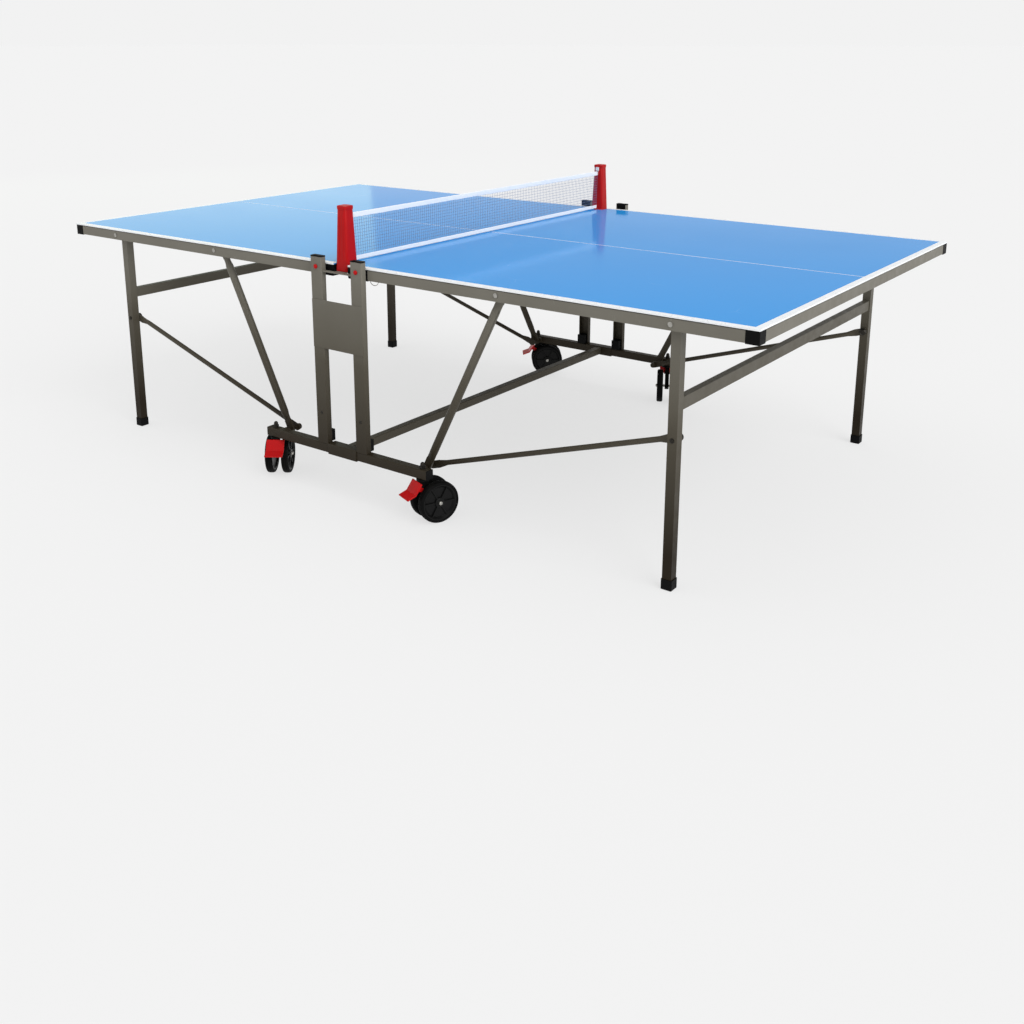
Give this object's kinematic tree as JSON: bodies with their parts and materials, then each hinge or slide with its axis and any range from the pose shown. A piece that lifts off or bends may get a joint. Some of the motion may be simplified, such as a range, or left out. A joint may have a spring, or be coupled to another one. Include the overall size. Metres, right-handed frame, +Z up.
{
  "type": "ping pong table",
  "caption": "Folding outdoor ping pong table: blue halves on grey steel frames that fold up into a wheeled centre frame, with net, red posts and braked casters.",
  "frame": {"origin": "on the floor, under the centre of the playing surface, where the net crosses the centre line", "axes": "+X along the table's length to the right half, +Y across its width to the rear side, +Z up"},
  "size_m": [2.74, 1.7035, 0.937],
  "materials": {
    "frame_steel": "satin powder coat",
    "playing_surface": "satin lacquer",
    "black_plastic": "moulded, fine texture",
    "red_plastic": "moulded, semi gloss",
    "white_plastic": "moulded",
    "net_mesh": "knotted nylon mesh",
    "white_tape": "woven tape",
    "bolt_steel": "zinc plated",
    "tyre": "matt solid tyre on a plastic wheel"
  },
  "bodies": {
    "centre_frame": {"front_base_tube": "frame_steel", "rear_base_tube": "frame_steel", "saddle_sleeves": "frame_steel", "cross_tube": "frame_steel", "front_right_upright": "frame_steel", "front_left_upright": "frame_steel", "rear_right_upright": "frame_steel", "rear_left_upright": "frame_steel", "side_plates": "frame_steel", "upright_caps": "black_plastic", "stop_blocks": "black_plastic", "frame_fasteners": "bolt_steel", "base_end_caps": "black_plastic", "front_net_post": "red_plastic", "rear_net_post": "red_plastic", "net": "net_mesh", "net_tapes": "white_tape", "net_brackets": "frame_steel", "post_clips": "white_plastic"},
    "front_left_caster": {"front_left_caster_fork": "black_plastic"},
    "front_left_wheel_pair": {"front_left_caster_wheels": "tyre"},
    "front_left_pedal": {"front_left_brake_pedal": "red_plastic"},
    "front_right_caster": {"front_right_caster_fork": "black_plastic"},
    "front_right_wheel_pair": {"front_right_caster_wheels": "tyre"},
    "front_right_pedal": {"front_right_brake_pedal": "red_plastic"},
    "rear_left_caster": {"rear_left_caster_fork": "black_plastic"},
    "rear_left_wheel_pair": {"rear_left_caster_wheels": "tyre"},
    "rear_left_pedal": {"rear_left_brake_pedal": "red_plastic"},
    "rear_right_caster": {"rear_right_caster_fork": "black_plastic"},
    "rear_right_wheel_pair": {"rear_right_caster_wheels": "tyre"},
    "rear_right_pedal": {"rear_right_brake_pedal": "red_plastic"},
    "front_right_lock": {"front_right_lock_button": "red_plastic"},
    "front_left_lock": {"front_left_lock_button": "red_plastic"},
    "rear_right_lock": {"rear_right_lock_button": "red_plastic"},
    "rear_left_lock": {"rear_left_lock_button": "red_plastic"},
    "right_slider": {"right_slide_shoes": "black_plastic"},
    "right_half": {"right_top_panel": "playing_surface", "right_side_rails": "frame_steel", "right_end_rail": "frame_steel", "right_cross_rails": "frame_steel", "right_rail_caps": "black_plastic", "right_rail_bolts": "bolt_steel", "wire_loop": "bolt_steel"},
    "right_brace_pair": {"right_braces": "frame_steel"},
    "right_legs": {"right_leg_frame": "frame_steel", "right_foot_caps": "black_plastic", "right_link_pins": "bolt_steel"},
    "right_link_pair": {"right_links": "frame_steel"},
    "left_slider": {"left_slide_shoes": "black_plastic"},
    "left_half": {"left_top_panel": "playing_surface", "left_side_rails": "frame_steel", "left_end_rail": "frame_steel", "left_cross_rails": "frame_steel", "left_rail_caps": "black_plastic", "left_rail_bolts": "bolt_steel"},
    "left_brace_pair": {"left_braces": "frame_steel"},
    "left_legs": {"left_leg_frame": "frame_steel", "left_foot_caps": "black_plastic", "left_link_pins": "bolt_steel"},
    "left_link_pair": {"left_links": "frame_steel"}
  },
  "joints": [
    {"name": "front_left_swivel", "type": "hinge", "parent": "centre_frame", "child": "front_left_caster", "pos_m": [-0.32, -0.769, 0.14], "axis": [0, 0, 1], "continuous": true},
    {"name": "front_left_wheel_spin", "type": "hinge", "parent": "front_left_caster", "child": "front_left_wheel_pair", "pos_m": [-0.3418, -0.73787, 0.066], "axis": [0.8192, 0.5736, 0], "continuous": true},
    {"name": "front_left_pedal_press", "type": "hinge", "parent": "front_left_caster", "child": "front_left_pedal", "pos_m": [-0.31426, -0.77719, 0.108], "axis": [0.8192, 0.5736, 0], "range_deg": [0, 12]},
    {"name": "front_right_swivel", "type": "hinge", "parent": "centre_frame", "child": "front_right_caster", "pos_m": [0.32, -0.769, 0.14], "axis": [0, 0, 1], "continuous": true},
    {"name": "front_right_wheel_spin", "type": "hinge", "parent": "front_right_caster", "child": "front_right_wheel_pair", "pos_m": [0.33424, -0.73377, 0.066], "axis": [0.9272, -0.3746, 0], "continuous": true},
    {"name": "front_right_pedal_press", "type": "hinge", "parent": "front_right_caster", "child": "front_right_pedal", "pos_m": [0.31625, -0.77827, 0.108], "axis": [0.9272, -0.3746, 0], "range_deg": [0, 12]},
    {"name": "rear_left_swivel", "type": "hinge", "parent": "centre_frame", "child": "rear_left_caster", "pos_m": [-0.32, 0.769, 0.14], "axis": [0, 0, 1], "continuous": true},
    {"name": "rear_left_wheel_spin", "type": "hinge", "parent": "rear_left_caster", "child": "rear_left_wheel_pair", "pos_m": [-0.29006, 0.79239, 0.066], "axis": [0.6157, -0.788, 0], "continuous": true},
    {"name": "rear_left_pedal_press", "type": "hinge", "parent": "rear_left_caster", "child": "rear_left_pedal", "pos_m": [-0.32788, 0.76284, 0.108], "axis": [0.6157, -0.788, 0], "range_deg": [0, 12]},
    {"name": "rear_right_swivel", "type": "hinge", "parent": "centre_frame", "child": "rear_right_caster", "pos_m": [0.32, 0.769, 0.14], "axis": [0, 0, 1], "continuous": true},
    {"name": "rear_right_wheel_spin", "type": "hinge", "parent": "rear_right_caster", "child": "rear_right_wheel_pair", "pos_m": [0.33784, 0.73545, 0.066], "axis": [-0.8829, -0.4695, 0], "continuous": true},
    {"name": "rear_right_pedal_press", "type": "hinge", "parent": "rear_right_caster", "child": "rear_right_pedal", "pos_m": [0.31531, 0.77783, 0.108], "axis": [-0.8829, -0.4695, 0], "range_deg": [0, 12]},
    {"name": "front_right_lock_pull", "type": "slide", "parent": "centre_frame", "child": "front_right_lock", "axis": [0, -1, 0], "range_m": [0, 0.005], "stiffness_N_per_m": 150},
    {"name": "front_left_lock_pull", "type": "slide", "parent": "centre_frame", "child": "front_left_lock", "axis": [0, -1, 0], "range_m": [0, 0.005], "stiffness_N_per_m": 150},
    {"name": "rear_right_lock_pull", "type": "slide", "parent": "centre_frame", "child": "rear_right_lock", "axis": [0, 1, 0], "range_m": [0, 0.005], "stiffness_N_per_m": 150},
    {"name": "rear_left_lock_pull", "type": "slide", "parent": "centre_frame", "child": "rear_left_lock", "axis": [0, 1, 0], "range_m": [0, 0.005], "stiffness_N_per_m": 150},
    {"name": "right_fold", "type": "hinge", "parent": "right_slider", "child": "right_half", "pos_m": [0.084, 0, 0.748], "axis": [0, -1, 0], "range_deg": [0, 90]},
    {"name": "right_slide", "type": "slide", "parent": "centre_frame", "child": "right_slider", "axis": [0, 0, -1], "range_m": [0, 0.47836]},
    {"name": "right_brace_pivot", "type": "hinge", "parent": "right_half", "child": "right_brace_pair", "pos_m": [0.59, 0, 0.74], "axis": [0, 1, 0], "range_deg": [0, 44.98]},
    {"name": "right_leg_pivot", "type": "hinge", "parent": "right_half", "child": "right_legs", "pos_m": [1.132, 0, 0.738], "axis": [0, 1, 0], "range_deg": [0, 66.07]},
    {"name": "right_link_pivot", "type": "hinge", "parent": "right_legs", "child": "right_link_pair", "pos_m": [1.132, 0, 0.422], "axis": [0, -1, 0], "range_deg": [0, 53.42]},
    {"name": "left_fold", "type": "hinge", "parent": "left_slider", "child": "left_half", "pos_m": [-0.084, 0, 0.748], "axis": [0, 1, 0], "range_deg": [0, 90]},
    {"name": "left_slide", "type": "slide", "parent": "centre_frame", "child": "left_slider", "axis": [0, 0, -1], "range_m": [0, 0.47836]},
    {"name": "left_brace_pivot", "type": "hinge", "parent": "left_half", "child": "left_brace_pair", "pos_m": [-0.59, 0, 0.74], "axis": [0, -1, 0], "range_deg": [0, 44.98]},
    {"name": "left_leg_pivot", "type": "hinge", "parent": "left_half", "child": "left_legs", "pos_m": [-1.132, 0, 0.738], "axis": [0, -1, 0], "range_deg": [0, 66.07]},
    {"name": "left_link_pivot", "type": "hinge", "parent": "left_legs", "child": "left_link_pair", "pos_m": [-1.132, 0, 0.422], "axis": [0, 1, 0], "range_deg": [0, 53.42]}
  ],
  "couplings": [
    {"joint": "right_slide", "follows": "right_fold", "m_per_rad": 0.30453},
    {"joint": "right_brace_pivot", "follows": "right_fold", "ratio": 0.49976},
    {"joint": "right_leg_pivot", "follows": "right_fold", "ratio": 0.73415},
    {"joint": "right_link_pivot", "follows": "right_fold", "ratio": 0.59353},
    {"joint": "left_slide", "follows": "left_fold", "m_per_rad": 0.30453},
    {"joint": "left_brace_pivot", "follows": "left_fold", "ratio": 0.49976},
    {"joint": "left_leg_pivot", "follows": "left_fold", "ratio": 0.73415},
    {"joint": "left_link_pivot", "follows": "left_fold", "ratio": 0.59353}
  ]
}
